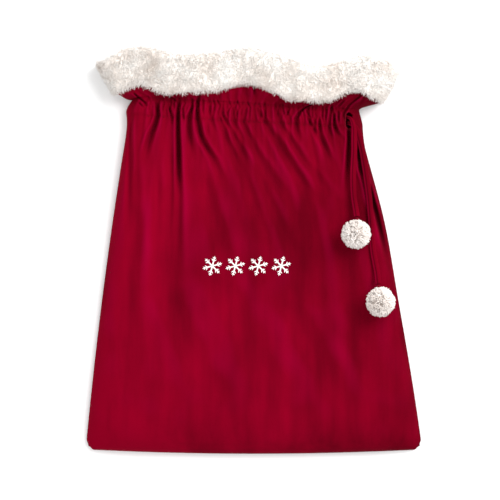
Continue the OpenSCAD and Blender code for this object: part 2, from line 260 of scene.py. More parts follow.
# The way of each tail, in millimetres, from inside the casing to its binding.
front_tail_route = [
    [166, 242, 30.8], [170, 241, 35], [174, 238, 41], [178, 230, 44], [180, 216, 44], [180, 198, 45],
    [180, 180, 47], [179, 160, 48], [178, 140, 49], [178, 120, 49], [179, 100, 50], [181, 84, 53],
    [183, 71, 58], [184, 61.5, 62],
]
side_tail_route = [
    [162.2, 231, 14], [166.5, 231, 22], [170.5, 231, 31], [175.5, 229, 37.5], [182, 223, 38.5],
    [187, 212, 38], [191, 197, 38.5], [195, 180, 40], [198, 160, 43], [201, 140, 45], [204, 118, 46],
    [207, 94, 46], [209, 70, 46], [211, 46, 46], [212, 22, 46], [214, 0, 46], [218, -22, 46],
    [221, -39, 49], [222, -51, 54], [223, -59.5, 57],
]
tails = []
for name, route, leaves in (("front_tail", front_tail_route, 2), ("side_tail", side_tail_route, 3)):
    line = smooth_line(route)
    tail = string_tube(name + "_velvet", line, bunched(line))
    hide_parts(name)
    tails.append((tail, line, tuple(np.array(route[leaves]) / 1000)))


# ---- Pompoms and their bindings
# Each pompom is a thick bundle of cream yarn tied round its middle and clipped to a ball, so that it is all
# cut ends. The tail's end is folded in and whipped with red thread, and the ball swings on that binding.
def strands(roots, ways, lengths, radius, rng, parts=3, curl=0.25, taper=0.5):
    """Many short strands, each from its root along its own way with some curl: vertices, faces, height."""
    ways = ways / np.linalg.norm(ways, axis=1)[:, None]
    side = np.cross(ways, np.where(np.abs(ways[:, 2:]) < 0.9, (0, 0, 1), (1, 0, 0)))
    side /= np.linalg.norm(side, axis=1)[:, None]
    other = np.cross(ways, side)
    lean = rng.normal(0, curl, (len(roots), 2))
    t = np.linspace(0, 1, parts + 1)
    bend = (side * lean[:, :1] + other * lean[:, 1:])[:, None] * (t**2)[None, :, None]
    middle = roots[:, None] + lengths[:, None, None] * (ways[:, None] * t[None, :, None] + bend)
    turn = np.arange(3) * 2 * math.pi / 3
    ring = side[:, None] * np.cos(turn)[None, :, None] + other[:, None] * np.sin(turn)[None, :, None]
    points = middle[:, :, None] + (radius * (1 - taper * t**2))[None, :, None, None] * ring[:, None]
    one = np.array(grid_faces(parts + 1, 3, round_rows=True))
    step = np.arange(len(roots)) * 3 * (parts + 1)
    tips = step[:, None] + 3 * parts + np.arange(3)
    faces = (one[None] + step[:, None, None]).reshape(-1, 4).tolist() + tips.tolist()
    return points.reshape(-1, 3), faces, np.tile(np.repeat(t, 3), len(roots))


def fleece_finish(name, dark_tone_and_shade, bright, roughness=0.95):
    """Cream pile with painted shade, darker and warmer at the roots and bright at the tips, and soft patches
    of tone.
    """
    finish = Finish(name, Roughness=roughness, Specular_IOR_Level=0.05, Sheen_Weight=0.35)
    root = finish.node("ShaderNodeAttribute", output="Fac", attribute_name="fold")
    patches = finish.noise(26, detail=3)
    colour = finish.mixed((patches * 2.2 - 0.5).limited(), dark_tone_and_shade, bright)
    # Painted shade: the colour is pulled to the dark tone towards the roots and in the hollows of the pile.
    colour = finish.mixed(root.limited(), colour, dark_tone_and_shade)
    return finish.surface(colour, finish.noise(900, detail=2), distance=0.0005, strength=0.4)


YARN = fleece_finish("pompom_yarn", paint(231, 221, 214), paint(250, 244, 240))
twist = Finish("red_thread", Roughness=0.8, Specular_IOR_Level=0.1)
THREAD = twist.surface(
    twist.mixed(twist.noise(300), paint(84, 0, 16), paint(120, 1, 28)), twist.noise(1800), distance=0.0002
)


def joined(name, parts):
    """Several new pieces as one."""
    bpy.ops.object.select_all(action="DESELECT")
    for part in parts:
        part.select_set(True)
    bpy.context.view_layer.objects.active = parts[0]
    bpy.ops.object.join()
    parts[0].name = parts[0].data.name = name
    return parts[0]


def settled(piece):
    """Puts a new piece's place into its mesh, so that the object stands at the origin."""
    bpy.ops.object.select_all(action="DESELECT")
    piece.select_set(True)
    bpy.context.view_layer.objects.active = piece
    bpy.ops.object.transform_apply(location=True, rotation=True, scale=True)
    bpy.ops.object.shade_smooth()
    return piece


def binding(name, at, low, high, radius=0.0047, turns=8):
    """A whipping of thread round a tail's end: a core and close turns laid one on another."""
    bpy.ops.object.select_all(action="DESELECT")
    bpy.ops.mesh.primitive_cylinder_add(vertices=32, radius=radius * 0.86, depth=high - low, location=at)
    parts = [settled(bpy.context.object)]
    for turn in range(turns):
        bpy.ops.object.select_all(action="DESELECT")
        bpy.ops.mesh.primitive_torus_add(
            major_segments=32, minor_segments=8, major_radius=radius * 0.9, minor_radius=0.00062,
            location=(at[0], at[1], at[2] + low + (turn + 0.5) * (high - low) / turns),
            rotation=(0.05, 0.04, turn),
        )
        parts.append(settled(bpy.context.object))
    for part in parts:
        part.data.materials.clear()
        part.data.materials.append(THREAD)
    return joined(name, parts)


def pompom(name, at, tie_at, seed, radius=0.0262, count=2800, bunches=150):
    """A clipped ball of yarn: a soft core and cut ends that cling in bunches, clear of the binding."""
    rng = np.random.default_rng(seed)
    way, bunch = rng.normal(0, 1, (count, 3)), rng.normal(0, 1, (bunches, 3))
    way /= np.linalg.norm(way, axis=1)[:, None]
    bunch /= np.linalg.norm(bunch, axis=1)[:, None]
    nearest = np.argmax(way @ bunch.T, axis=1)
    long = rng.uniform(0.93, 1.05, bunches)[nearest] * rng.uniform(0.93, 1.03, count)
    centre = np.array(at)
    keep = np.linalg.norm(centre + way * radius * 0.85 - np.array(tie_at), axis=1) > 0.0068
    roots = centre + way * radius * 0.46
    tips = centre + (0.6 * way + 0.4 * bunch[nearest]) * radius * long[:, None]
    lean = tips - roots
    lengths = np.linalg.norm(lean, axis=1)
    points, faces, height = strands(
        roots[keep], lean[keep], lengths[keep], 0.00105, rng, curl=0.12, taper=0.2
    )
    ends = mesh_piece(name + "_ends", points, faces, YARN)
    # Painted shade, darker towards the roots of the cut ends.
    point_value(ends, "fold", np.clip(0.8 - 1.1 * height, 0, 1))
    bpy.ops.object.select_all(action="DESELECT")
    bpy.ops.mesh.primitive_ico_sphere_add(subdivisions=4, radius=radius * 0.6, location=at)
    core = settled(bpy.context.object)
    core.data.materials.append(YARN)
    # Painted shade: the core inside the ball is kept dark.
    point_value(core, "fold", np.full(len(core.data.vertices), 0.9))
    return joined(name + "_yarn", [ends, core])


for (tail, line, leaves_at), name, end, tie_at, ball_at, seed in (
    (tails[0], "upper", "front_tail_end", (0.184, 0.055, 0.062), (0.182, 0.030, 0.075), 3),
    (tails[1], "lower", "side_tail_end", (0.223, -0.066, 0.057), (0.226, -0.091, 0.069), 8),
):
    tie = binding(f"{name}_binding", Vector(tie_at), -0.0045, 0.0045)
    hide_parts(f"{name}_pompom_tie")
    ball = pompom(name, Vector(ball_at), Vector(tie_at), seed)
    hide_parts(f"{name}_pompom")
    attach(tie, end)
    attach(ball, f"{name}_pompom")
    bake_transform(tail)


# ---- Velvet front
# The front is one panel from the bottom seam to the rim. It swells over what the sack holds, is gathered at
# the neck by the drawstring, and flares above it, so its folds are deepest at the casing and die out below.
sack_w, neck_w, mouth_w, cuff_low_w = 0.612, 0.420, 0.550, 0.481
low_y, neck_y, casing_y, rim_y = -0.3605, 0.2315, 0.2675, 0.3525
cuff_h, pile = 0.070, 0.011
neck_k, rim_k = 0.9, 2.84
loft, neck_rise, cloth = 0.046, 0.037, 0.003
back_header_z, edge_header_z, front_header_z = 0.0114, 0.0148, 0.0466
top_waves = ((0, -12), (0.125, 16), (0.3, 0), (0.515, 12), (0.73, -21), (0.88, -1), (1, -28))
low_waves = ((0, 1), (0.1, 14), (0.2, -1), (0.36, 2), (0.5, 17), (0.68, -13), (0.78, -15), (0.9, 5), (1, -14))


def lerp(a, b, t):
    return a + (b - a) * t


def smooth(t):
    t = np.clip(t, 0, 1)
    return t * t * (3 - 2 * t)


def roll(distance, reach):
    return np.sqrt(1 - (1 - np.clip(distance / reach, 0, 1)) ** 2)


def wave_at(waves, f):
    """Height of a wavy edge at share f of its width, easing from one point to the next."""
    shares, heights = np.array(waves).T
    i = np.clip(np.searchsorted(shares, f) - 1, 0, len(shares) - 2)
    return lerp(heights[i], heights[i + 1], smooth((f - shares[i]) / (shares[i + 1] - shares[i]))) / 1000


def spread(k):
    t = 1 - np.clip(k / neck_k, 0, 1)
    return t * (1 + 0.3 * (1 - t))


def half_w(k):
    return lerp(neck_w, sack_w, spread(k)) / 2 - 0.009 * np.clip((k - neck_k) / (1 - neck_k), 0, 1)


def mid_x(k):
    return lerp(-0.017, 0, spread(k))


def row_y(f, k):
    bow = 0.008 * (1 - (2 * f - 1) ** 2) * np.clip(1 - k, 0, 1) ** 4
    return np.interp(k, (0, neck_k, 1), (low_y, neck_y, casing_y)) - bow - 0.024 * (f - 0.5) * smooth(k)


def sack_xy(f, k):
    """The sack's plan: f runs across, k up from the bottom seam (0), past the casing (1), to the top (3)."""
    b, g, h = np.clip(k, 0, 1), np.clip(k - 1, 0, 1), np.clip(k - 2, 0, 1)
    x, y = mid_x(b) + half_w(b) * (2 * f - 1), row_y(f, b)
    end = (2 * f - 1) ** 7
    right_puff = 0.007 * smooth((b - 0.84) / 0.1) + 0.005 * np.exp(-(((b - 0.64) / 0.16) ** 2))
    left_puff = 0.008 * np.exp(-(((b - 0.935) / 0.045) ** 2))
    puffed = np.where(end > 0, right_puff, left_puff)
    x = x + puffed * end * (1 - g) - 0.009 * end * np.sin(math.pi * g)
    corner = smooth((np.abs(2 * f - 1) - 0.95) / 0.05) * smooth((0.03 - b) / 0.03)
    x, y = x - 0.005 * np.sign(end) * corner, y + 0.006 * corner
    low_x, lower = -0.0115 + cuff_low_w * (f - 0.5), rim_y - cuff_h + wave_at(low_waves, f)
    top_x, top = -0.0085 + mouth_w * (f - 0.5), rim_y + wave_at(top_waves, f)
    top = top + 0.009 * np.exp(-(((f - 0.955) / 0.028) ** 2))
    tip = smooth((f - 0.95) / 0.05) * smooth((h - 0.3) / 0.7)
    top_x, top = top_x - 0.005 * tip, top + 0.003 * tip
    lower_notch = 0.007 * np.maximum(0, -end) * np.sin(math.pi * np.clip(g * 1.3, 0, 1))
    return lerp(lerp(x, low_x, g), top_x, h), lerp(lerp(y, lower, g), top, h) - lower_notch


def plan_of(x, y):
    """The f and k of a point of the body or casing, found step by step."""
    k = np.interp(y, (low_y, neck_y, casing_y), (0, neck_k, 1))
    for _ in range(8):
        f = np.clip(((x - mid_x(k)) / half_w(k) + 1) / 2, 0, 1)
        slope = np.where(k < neck_k, (neck_y - low_y) / neck_k, (casing_y - neck_y) / (1 - neck_k))
        k = np.clip(k + (y - row_y(f, k)) / slope, 0, 1)
    return f, k


def front_z(f, k):
    edge = lerp(cloth, edge_header_z, smooth(k - 1))
    crown = np.where(
        k <= 1,
        lerp(loft, neck_rise, smooth((k - 0.55) / 0.3)),
        lerp(neck_rise, front_header_z + cloth + 0.004 * np.cos(6 * math.pi * f + 0.7), smooth(k - 1)),
    )
    reach = np.where(k <= 1, lerp(0.09, 0.022, smooth((k - 0.35) / 0.5)), 0.022 + 0.02 * smooth(k - 1))
    half = np.where(k <= 1, half_w(k), lerp(half_w(1), mouth_w / 2, np.clip(k - 1, 0, 1)))
    to_end = np.minimum(f, 1 - f) * 2 * half
    from_low = np.interp(np.minimum(k, 1), (0, neck_k, 1), (low_y, neck_y, casing_y)) - low_y
    return edge + np.maximum(0, crown - edge) * roll(to_end, reach) * roll(from_low, 0.07)


def back_z(k):
    return back_header_z * smooth(k - 1)


# Each crease of the front: its line from top to bottom, how deep it is, and its half width at its top and at
# its bottom, all in millimetres.
creases = (
    (((-229, 239), (-233, 210), (-238, 178)), 4, 3, 4), (((-223, 228), (-225, 114), (-228, 0)), 5, 3.4, 8),
    (((-175, 267), (-173, 245), (-178, 229), (-185, 213), (-192, 190), (-199, 156)), 9, 3, 7),
    (((-154, 262), (-147, 240), (-148, 222)), 5, 2, 3), (((-128, 257), (-128, 236)), 4, 2, 2),
    (((-136, 264), (-137.5, 243), (-137, 213), (-136, 179), (-135.6, 144), (-134, 95)), 12.5, 3.0, 5),
    (((-136, 190), (-134, 100), (-137, -40)), 5, 4, 8),
    (((-110, 262), (-117, 244), (-118, 224), (-115, 196), (-110, 160)), 7, 2.6, 7),
    (((-97, 284), (-102, 266), (-102, 237), (-97, 213), (-91, 196), (-74, 168), (-50, 110)), 9, 2.4, 8),
    (((-56, 246), (-45, 225), (-18, 172), (4, 120)), 5, 2.6, 9),
    (((-80, 262), (-78, 238), (-70, 210)), 4, 2.4, 5),
    (((-58, 262), (-60, 236), (-45, 190), (-20, 130)), 4, 3, 12),
    (((-38, 258), (-36, 232), (-10, 170)), 3, 2.6, 9),
    (((0, 303), (1, 274)), 8, 2.2, 2.4), (((-16, 300), (-14, 266)), 3, 4, 4),
    (((-14, 256), (-20, 228)), 3, 2, 3), (((-20, 232), (-2, 190), (30, 135), (83, 56)), 4, 4, 15),
    (((6, 256), (20, 232), (70, 150), (137, 65)), 4, 4, 15),
    (((40, 256), (48, 230), (90, 160), (160, 70)), 3.5, 3, 13), (((60, 256), (64, 226)), 3, 2, 4),
    (((106, 266), (90, 257), (82, 250), (76, 239), (77, 219), (84, 190)), 8, 2.4, 6),
    (((97, 240), (105, 225), (124, 185)), 5, 2.2, 6), (((109, 239), (110, 221), (114, 204)), 5, 2, 4),
    (((118, 236), (119, 213), (127, 190), (140, 150)), 7, 2.4, 7),
    (((140, 262), (138, 247), (136, 222), (140, 195)), 6, 2, 4),
    (((144, 246), (144, 227), (149, 215), (160, 196)), 6, 2.2, 5), (((152, 252), (152, 226)), 5, 2, 3),
    (((192, 279), (171, 262), (163, 250), (160, 232)), 7, 2.4, 3), (((162, 271), (148, 255)), 5, 2.2, 2.6),
    (((171, 222), (172, 202), (170, 156), (169, 100)), 9, 3.2, 6), (((205, 285), (186, 258)), 4, 3, 3),
    (((187, 190), (193, 147), (203, 121), (210, 95), (222, 66), (229, 40), (246, -30)), 9, 3.4, 9),
    (((212, 114), (217, 88), (225, 52), (233, 20), (248, -40)), 8, 2.6, 5),
    (((-215, 283), (-197, 268), (-191, 257)), 7, 2.6, 2.6), (((-207, 267), (-198, 258)), 4, 2, 2),
    (((-162, 284), (-146, 275), (-135, 266)), 6, 2.6, 2.6), (((-60, 296), (-64, 268)), 3, 3, 3),
    (((52, 290), (44, 264)), 4, 3, 3), (((-120, 285), (-124, 268)), 4, 2.4, 2.4),
    (((88, 278), (76, 264)), 4, 3, 3),
)
# Small puckers between the two rows of stitches and just past them.
rng = np.random.default_rng(12)
places = np.linspace(-186, 158, 40) + rng.uniform(-4, 4, 40)
depths, wanders = rng.uniform(1.2, 4.2, 40), rng.uniform(-3.5, 3.5, (40, 4))
puckers = tuple(
    (tuple((at + aside, up - 0.06 * at) for aside, up in zip(wander, (268, 258, 246, 226))), deep, 1.5, 2.2)
    for at, deep, wander in zip(places, depths, wanders)
)
# Soft waves of the body: the same, but wide and shallow.
waves = (
    (((2, 160), (30, 80), (68, 0), (95, -90)), 3, 8, 16),
    (((45, 200), (90, 110), (128, -30), (150, -120)), 3, 8, 16),
    (((100, 200), (118, 120), (125, 40)), 2.5, 7, 12), (((-212, 140), (-214, 20), (-222, -120)), 3, 7, 14),
    (((-150, 170), (-149, 30), (-155, -90)), 3, 8, 14), (((-88, 130), (-62, 20), (-40, -90)), 3, 9, 18),
    (((-30, 170), (10, 60), (35, -10)), 3, 9, 16), (((-172, 130), (-178, 0), (-190, -130)), 2.5, 7, 14),
    (((-150, -90), (-110, -190), (-60, -290)), 3.5, 20, 26),
    (((65, -100), (137, -230), (180, -330)), 3.5, 22, 26),
    (((-60, -60), (10, -200), (60, -320)), 3, 24, 30), (((-215, 60), (-225, -60), (-220, -260)), 3, 16, 24),
    (((150, 40), (190, -120), (215, -290)), 3.5, 18, 24),
    (((-165, 100), (-150, 0), (-165, -170)), 2.5, 18, 26),
    (((-95, 120), (-60, 10), (-40, -60)), 2.5, 18, 24), (((80, 60), (100, -60), (110, -120)), 2.5, 20, 26),
)


def crease(x, y, line, depth, top_half, low_half):
    """The height that one crease adds at (x, y): a valley between two ridges, fading at its lower end."""
    line = np.array(line) / 1000
    along = (line[0, 1] - y) / (line[0, 1] - line[-1, 1])
    half = 0.85 * lerp(top_half, low_half, np.clip(along, 0, 1)) / 1000
    off = np.abs(x - np.interp(-y, -line[:, 1], line[:, 0])) / half
    fade = smooth((along + 0.1) / 0.16) * smooth((1.02 - along) / 0.6)
    return depth / 1000 * fade * (0.38 * np.exp(-(((off - 2.1) / 0.85) ** 2)) - np.exp(-(off**2)))


def ripple(x, y, size, seed):
    """Smooth irregular waves of about that size, between -1 and 1."""
    rng = np.random.default_rng(seed)
    turns, shifts = rng.uniform(0, math.pi, 6), rng.uniform(0, 7, 6)
    sizes = size * rng.uniform(0.7, 1.5, 6)
    waving = zip(turns, shifts, sizes)
    return sum(np.sin((x * math.cos(t) + y * math.sin(t)) * 2 * math.pi / s + p) for t, p, s in waving) / 4


def folds(x, y, f, k):
    """Everything the gathers add to the smooth front at a point, and how shaded its valleys are."""
    height = sum(crease(x, y, *one) for one in (*creases, *puckers))
    shade = np.clip(-height / 0.0085, 0, 1) ** 1.5
    height = height + sum(crease(x, y, *one) for one in waves)
    gather = np.sin(2 * math.pi * 23 * f + 2.2 * np.sin(14 * f + 1))
    gather = gather + 0.7 * np.sin(2 * math.pi * 37 * f + 1.5 * np.sin(21 * f))
    fade = np.exp(-np.clip(neck_y - y, 0, 1) / 0.045) * smooth((1.95 - k) / 0.3)
    height = height + 0.0011 * gather * fade
    rows = np.exp(-(((k - 0.906) / 0.011) ** 2)) + np.exp(-(((k - 0.994) / 0.011) ** 2))
    height = height - 0.0016 * rows + 0.0007 * ripple(x, y, 0.05, 5) * smooth(k * 8)
    ends = smooth(np.minimum(f, 1 - f) / 0.025) * smooth(k / 0.04) * smooth((2.02 - k) / 0.14)
    height = np.clip(height - 0.0012 * np.exp(-(((k - 0.022) / 0.005) ** 2)), -0.0135, 0.006) * ends
    return height, np.clip(shade + 0.06 * rows * (k < 1.05), 0, 1) * ends


def front_height(x, y, above=0.0):
    f, k = plan_of(np.asarray(x, float), np.asarray(y, float))
    return front_z(f, k) + folds(x, y, f, k)[0] + above


edge_rows = np.array([*np.linspace(low_y, neck_y, 12), casing_y, rim_y - cuff_h, rim_y])
edge_halves = np.array([*half_w(np.linspace(0, neck_k, 12)), half_w(1.0), cuff_low_w / 2, mouth_w / 2])
edge_mids = np.array([*mid_x(np.linspace(0, neck_k, 12)), mid_x(1.0), -0.0115, -0.0085])


def gathers(piece):
    """Puts a piece's place into its mesh and works out each point's share of the neck's gathering (its left
    end all, its right end none, less lower down), which nothing keeps.
    """
    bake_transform(piece)
    place = np.array([v.co for v in piece.data.vertices])
    middle = np.interp(place[:, 1], edge_rows, edge_mids)
    half = np.interp(place[:, 1], edge_rows, edge_halves)
    share = np.clip(((place[:, 0] - middle) / half + 1) / 2, 0, 1)
    goes = (1 - share) * smooth((place[:, 1] + 0.25) / 0.485)
    return piece


def thickened(piece, thickness=0.0012, offset=-1.0):
    solid = piece.modifiers.new("cloth thickness", "SOLIDIFY")
    solid.thickness, solid.offset = thickness, offset
    return piece


columns = np.linspace(0, 1, 252)
columns = 0.8 * columns + 0.2 * (1 - np.cos(math.pi * columns)) / 2
rows = np.concatenate([
    np.linspace(0, 0.1, 18), np.linspace(0.105, 0.8, 96), np.linspace(0.803, 1, 44), np.linspace(1.04, 2, 24),
    np.linspace(2.1, rim_k, 8),
])
f, k = np.meshgrid(columns, rows)
x, y = sack_xy(f, k)
height, shade = folds(x, y, f, k)
faces = grid_faces(*f.shape)
# The buttonhole is a slot with round ends, left out of the cloth.
exit_at, slot_r = np.array([0.1715, 0.2356]), 0.0062
middle = np.stack([x, y], -1).reshape(-1, 2)[np.array(faces)].mean(1) - exit_at
slot = np.hypot(middle[:, 0], np.maximum(0, np.abs(middle[:, 1]) - 0.008)) < slot_r
front = mesh_piece(
    "front_panel_velvet", np.stack([x, y, front_z(f, k) + height], -1),
    [face for face, out in zip(faces, slot) if not out], VELVET,
)
# Painted shade in the valleys and a painted highlight on the ridges.
point_value(front, "fold", 0.6 * shade.ravel())
point_value(front, "crest", np.clip(height / 0.0035, 0, 1).ravel())
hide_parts("front_panel")
gathers(thickened(front))


# ---- Velvet back
# The back is cut like the front and lies flat on what is under it. It lifts off it only at the neck, where
# the gathers and the cuff's thickness hold it up.
rows = np.concatenate([np.linspace(0, 0.8, 60), np.linspace(0.81, 2, 70), [2.2, 2.5, rim_k]])
f, k = np.meshgrid(np.linspace(0, 1, 150), rows)
x, y = sack_xy(f, k)
gather = np.abs(np.sin(math.pi * 19 * f + 1.6 * np.sin(11 * f))) + 0.5 * np.abs(np.sin(math.pi * 31 * f))
near_neck = np.exp(-np.clip(neck_y - y, 0, 1) / 0.05) * smooth((1.95 - k) / 0.3)
near_neck = near_neck * smooth(np.minimum(f, 1 - f) / 0.04)
lift = 0.0009 * gather * near_neck + 0.0004 * (1 + ripple(x, y, 0.12, 9)) * smooth(k * 6)
points = np.stack([x, y, back_z(k) + 0.0014 + lift], -1)
back = mesh_piece("back_panel_velvet", points, grid_faces(*f.shape), VELVET)
# Painted shade between the gathers near the neck.
point_value(back, "fold", (np.clip(1 - gather, 0, 1) * near_neck * 0.6).ravel())
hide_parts("back_panel")
gathers(thickened(back))


# ---- Fleece cuff
# The cuff is a band of deep cream fleece folded over the rim of the velvet, one half on the front and one on
# the back, sewn together at the ends. It isn't gathered, so it waves along both edges and its ends stand out.
FLEECE = fleece_finish("cream_fleece", paint(229, 219, 211), paint(249, 247, 244))


def cuff_half(name, side, columns=230, steps=84):
    """The folded fleece of one half, following its section from the lower edge over the top and inside."""
    f = np.linspace(0, 1, columns)
    inside = smooth((np.minimum(f, 1 - f) - 0.03) / 0.11)
    near = np.where(np.minimum(f, 1 - f) < 0.03, 0.0006, cloth + 0.0008)
    far = near + 0.0062 * np.maximum(0.12, inside)
    low = lerp(0.92, 0.5, inside)
    if side > 0:
        face = front_z(f, np.full(columns, 2.0)) + 0.0004
    else:
        face = np.full(columns, back_header_z - 0.0004)
    one = np.ones(columns)
    across = [0, 0, 0.05, 0.14, 0.5, 0.86, 0.96, 1, 1, 0.98, 0.95, low, low]
    up = [value * pile * one for value in (0, 0.4, 0.7, 0.86, 0.86, 0.86, 0.7, 0.3)]
    up += [-0.4 * far, -0.8 * far, -0.92 * far, -0.92 * far, -near]
    across, up = np.array([value * one for value in across]), np.array(up)
    steps_across, steps_up = np.diff(across[:, columns // 2]) * cuff_h, np.diff(up[:, columns // 2])
    run = np.concatenate([[0], np.cumsum(np.hypot(steps_across, steps_up))])
    places = np.linspace(0, run[-1], steps)
    g = np.stack([np.interp(places, run, across[:, i]) for i in range(columns)], 1)
    h = np.stack([np.interp(places, run, up[:, i]) for i in range(columns)], 1)
    for _ in range(2):
        g[1:-1], h[1:-1] = (g[:-2] + g[1:-1] + g[2:]) / 3, (h[:-2] + h[1:-1] + h[2:]) / 3
    x, y = sack_xy(np.tile(f, (steps, 1)), 2.035 + 0.93 * g)
    lump = 0.0012 * ripple(x, y, 0.05, 3) + 0.0007 * ripple(x, y, 0.016, 4)
    lump = np.where(h > 0.3 * pile, 1, 0.3) * lump
    points = np.stack([x, y, np.maximum(face + side * (h + lump), 0.0003)], -1)
    faces = grid_faces(steps, columns)
    faces.append(list(range(0, steps * columns, columns)))
    faces.append(list(range(columns - 1, steps * columns, columns))[::-1])
    faces = faces if side > 0 else [face[::-1] for face in faces]
    piece = mesh_piece(name + "_fleece", points, faces, FLEECE)
    # Painted shade where the fleece dips between its lumps.
    point_value(piece, "fold", np.clip(0.55 - 220 * lump, 0.15, 1).ravel())
    return piece


def pile_on(name, base, side, seed, count, low, high):
    """The fleece's pile: tufts all over a base, combed in slow swirls, sparser on the side that is hidden."""
    rng = np.random.default_rng(seed)
    mesh = base.data
    centres, normals, areas = (np.zeros(len(mesh.polygons) * n) for n in (3, 3, 1))
    mesh.polygons.foreach_get("center", centres)
    mesh.polygons.foreach_get("normal", normals)
    mesh.polygons.foreach_get("area", areas)
    centres, normals = centres.reshape(-1, 3), normals.reshape(-1, 3)
    weight = areas * (areas < 0.0001) * np.where(side * normals[:, 2] < -0.2, 0.25, 1)
    picked = rng.choice(len(areas), count, p=weight / weight.sum())
    roots = centres[picked] + rng.normal(0, 0.0011, (count, 3))
    turn = 2.2 * ripple(roots[:, 0], roots[:, 1], 0.07, seed) + rng.normal(0, 0.35, count) - 1.4
    comb = np.stack([np.cos(turn), np.sin(turn), 0 * turn], 1)
    up = normals[picked]
    ways = up * 0.75 + 0.75 * comb + rng.normal(0, 0.25, (count, 3))
    sunk = np.sum(ways * up, 1) < 0.1
    ways[sunk] += 0.6 * up[sunk]
    points, faces, height = strands(
        roots - 0.0008 * up, ways, rng.uniform(low, high, count), 0.0007, rng, parts=2, curl=0.35, taper=0.6
    )
    points[:, 2] = np.maximum(points[:, 2], 0.0004)
    piece = mesh_piece(name + "_pile", points, faces, FLEECE)
    # Painted shade, darker towards the roots of the tufts, with tone that varies at random.
    shade = np.repeat(0.2 * ripple(roots[:, 0], roots[:, 1], 0.02, seed + 1), len(height) // count)
    point_value(piece, "fold", np.clip(0.5 - 1.1 * height + shade, 0, 1))
    return piece


for name, side, seed, count, low, high in (
    ("front_cuff", 1, 21, 15000, 0.0045, 0.0085), ("back_cuff", -1, 34, 11000, 0.0025, 0.0045),
):
    cuff = cuff_half(name, side)
    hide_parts(name)
    gathers(cuff)
    gathers(pile_on(name, cuff, side, seed, count, low, high))


def end_pile(name, share, count=520):
    """The two halves are sewn together at each end of the mouth, and the pile closes over that seam."""
    rng = np.random.default_rng(count)
    place = rng.uniform(0.06, 0.95, count)
    x, y = sack_xy(np.full(count, share), 2 + place)
    out = np.array([2 * share - 1, -0.35, 0.0])
    roots = np.column_stack([x - 0.003 * out[0], y, rng.uniform(0.006, 0.0215, count)])
    ways = out + np.column_stack([np.zeros(count), rng.normal(0, 0.4, count), (roots[:, 2] - 0.0135) * 40])
    lengths = rng.uniform(0.006, 0.009, count)
    points, faces, height = strands(roots, ways, lengths, 0.0008, rng, parts=2, curl=0.35)
    points[:, 2] = np.maximum(points[:, 2], 0.0003)
    piece = mesh_piece(name, points, faces, FLEECE)
    # Painted shade, darker towards the roots of the tufts.
    point_value(piece, "fold", np.clip(0.5 - height, 0, 1))
    return gathers(piece)


end_pile("cuff_left_end_pile", 0.0)
end_pile("cuff_right_end_pile", 1.0)


# ---- Drawstring in the casing
# Inside the casing the string runs along the front, turns round at the left side seam, comes back along the
# back and turns up to the buttonhole. The front run dips with the gathers over it.
left_turn_at = np.array([float(v) for v in sack_xy(0.0, 0.95)]) + (0.027, 0)
turn_r, turn_z, run_points = 0.0126, 0.0185, 90


def casing_line(start, end, z, dips):
    places = np.linspace(start, end, run_points)
    if dips:
        depth = front_height(places[:, 0], places[:, 1]) - front_z(*plan_of(places[:, 0], places[:, 1]))
        z = z + np.minimum(0, depth + 0.001)
    return np.column_stack([places, np.full(run_points, z)])


for name, end, z, dips in (
    ("front_run", (0.1635, 0.242), 0.0305, True), ("back_run", (0.1496, 0.231), 0.0059, False),
):
    line = casing_line(left_turn_at + (0.0004, 0), end, z, dips)
    run = string_tube(name + "_velvet", line, np.linspace(0.011, 0.005, run_points))
    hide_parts("drawstring_" + name)
    gathers(run)
turn = np.linspace(-math.pi / 2, math.pi / 2, 40)
left_x = left_turn_at[0] - 0.0004 - turn_r * np.cos(turn)
left_bend = np.column_stack([left_x, np.full(40, left_turn_at[1]), turn_z - turn_r * np.sin(turn)])
turn = np.linspace(0, math.pi / 3, 20)
right_x = 0.150 + turn_r * np.sin(turn)
right_bend = np.column_stack([right_x, np.full(20, 0.231), turn_z - turn_r * np.cos(turn)])


def upright_turn(name, line, width):
    """A turn of the string in an upright plane along X: its width stays level, across the plane."""
    along = np.gradient(line, axis=0)
    along /= np.linalg.norm(along, axis=1)[:, None]
    across = np.array([0.0, 1.0, 0.0])
    out = np.cross(along, across)
    turn = np.linspace(0, 2 * math.pi, 20, endpoint=False)
    crease = 1 + 0.06 * np.sin(1.3 * np.arange(len(line))[:, None] + 3 * np.sin(turn))
    rings = line[:, None] + (width / 2 * np.cos(turn))[None, :, None] * across
    rings = rings + (0.0023 * np.sin(turn) * crease)[..., None] * out[:, None]
    faces = grid_faces(len(line), 20, round_rows=True)
    faces += [list(range(20))[::-1], list(range((len(line) - 1) * 20, len(line) * 20))]
    return mesh_piece(name, rings, faces, STRING_VELVET)


for name, line, width, body in (
    ("left_bend", left_bend, 0.0108, "neck_end"), ("right_bend", right_bend, 0.005, "root"),
):
    piece = upright_turn(name + "_velvet", line, width)
    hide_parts(f"drawstring_{name}")
    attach(piece, body)


# ---- Casing facings
# A velvet strip sewn inside each panel, along both rows of stitches, closes the casing behind the string. It
# lies inside the sack and bunches up with the gathers.
def strip(name, node, z, right, dips):
    f, k = np.meshgrid(np.linspace(0.066, right, 90), np.linspace(neck_k + 0.004, 0.996, 8))
    x, y = sack_xy(f, k)
    drop = np.minimum(0, folds(x, y, f, k)[0] + 0.001) if dips else 0.0003 * np.sin(140 * f)
    piece = mesh_piece(name, np.stack([x, y, z + drop], -1), grid_faces(*f.shape), VELVET)
    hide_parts(node)
    return gathers(thickened(piece, 0.001))


strip("front_facing_velvet", "front_casing_facing", 0.0276, 0.93, True)
strip("back_facing_velvet", "back_casing_facing", 0.0102, 0.87, False)


